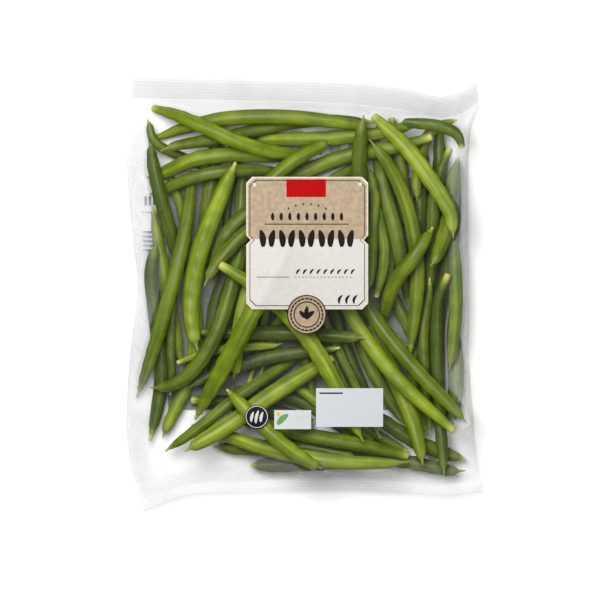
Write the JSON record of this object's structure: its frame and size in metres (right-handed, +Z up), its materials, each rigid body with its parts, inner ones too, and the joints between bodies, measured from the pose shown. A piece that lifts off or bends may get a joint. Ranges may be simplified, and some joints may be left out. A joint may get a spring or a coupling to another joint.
{
  "type": "bagged green bean bundle",
  "caption": "Loose bundle of whole green beans in a clear flat-sealed pillow bag with small vent holes in the back, lying on its back.",
  "frame": {"origin": "on the surface that the bag lies on, under the middle of the bag's outline", "axes": "+Z up out of the front film, +Y towards the top seal, +X to the right as the bag's front is read"},
  "size_m": [0.2036, 0.249, 0.051],
  "materials": {
    "pod": "satin green skin",
    "film": "clear glossy plastic film, slightly milky"
  },
  "bodies": {
    "root": {"bean_01": "pod", "bean_02": "pod", "bean_03": "pod", "bean_04": "pod", "bean_05": "pod", "bean_06": "pod", "bean_07": "pod", "bean_08": "pod", "bean_09": "pod", "bean_10": "pod", "bean_11": "pod", "bean_12": "pod", "bean_13": "pod", "bean_14": "pod", "bean_15": "pod", "bean_16": "pod", "bean_17": "pod", "bean_18": "pod", "bean_19": "pod", "bean_20": "pod", "bean_21": "pod", "bean_22": "pod", "bean_23": "pod", "bean_24": "pod", "bean_25": "pod", "bean_26": "pod", "bean_27": "pod", "bean_28": "pod", "bean_29": "pod", "bean_30": "pod", "bean_31": "pod", "bean_32": "pod", "bean_33": "pod", "bean_34": "pod", "bean_35": "pod", "bean_36": "pod", "bean_37": "pod", "bean_38": "pod", "bean_39": "pod", "bean_40": "pod", "bean_41": "pod", "bean_42": "pod", "bean_43": "pod", "bean_44": "pod", "bean_45": "pod", "bean_46": "pod", "bean_47": "pod", "bean_48": "pod", "bean_49": "pod", "bean_50": "pod", "bean_51": "pod", "bean_52": "pod", "bean_53": "pod", "bean_54": "pod", "bean_55": "pod", "bean_56": "pod", "bean_57": "pod", "bean_58": "pod", "bean_59": "pod", "film_bag": "film"}
  },
  "joints": []
}
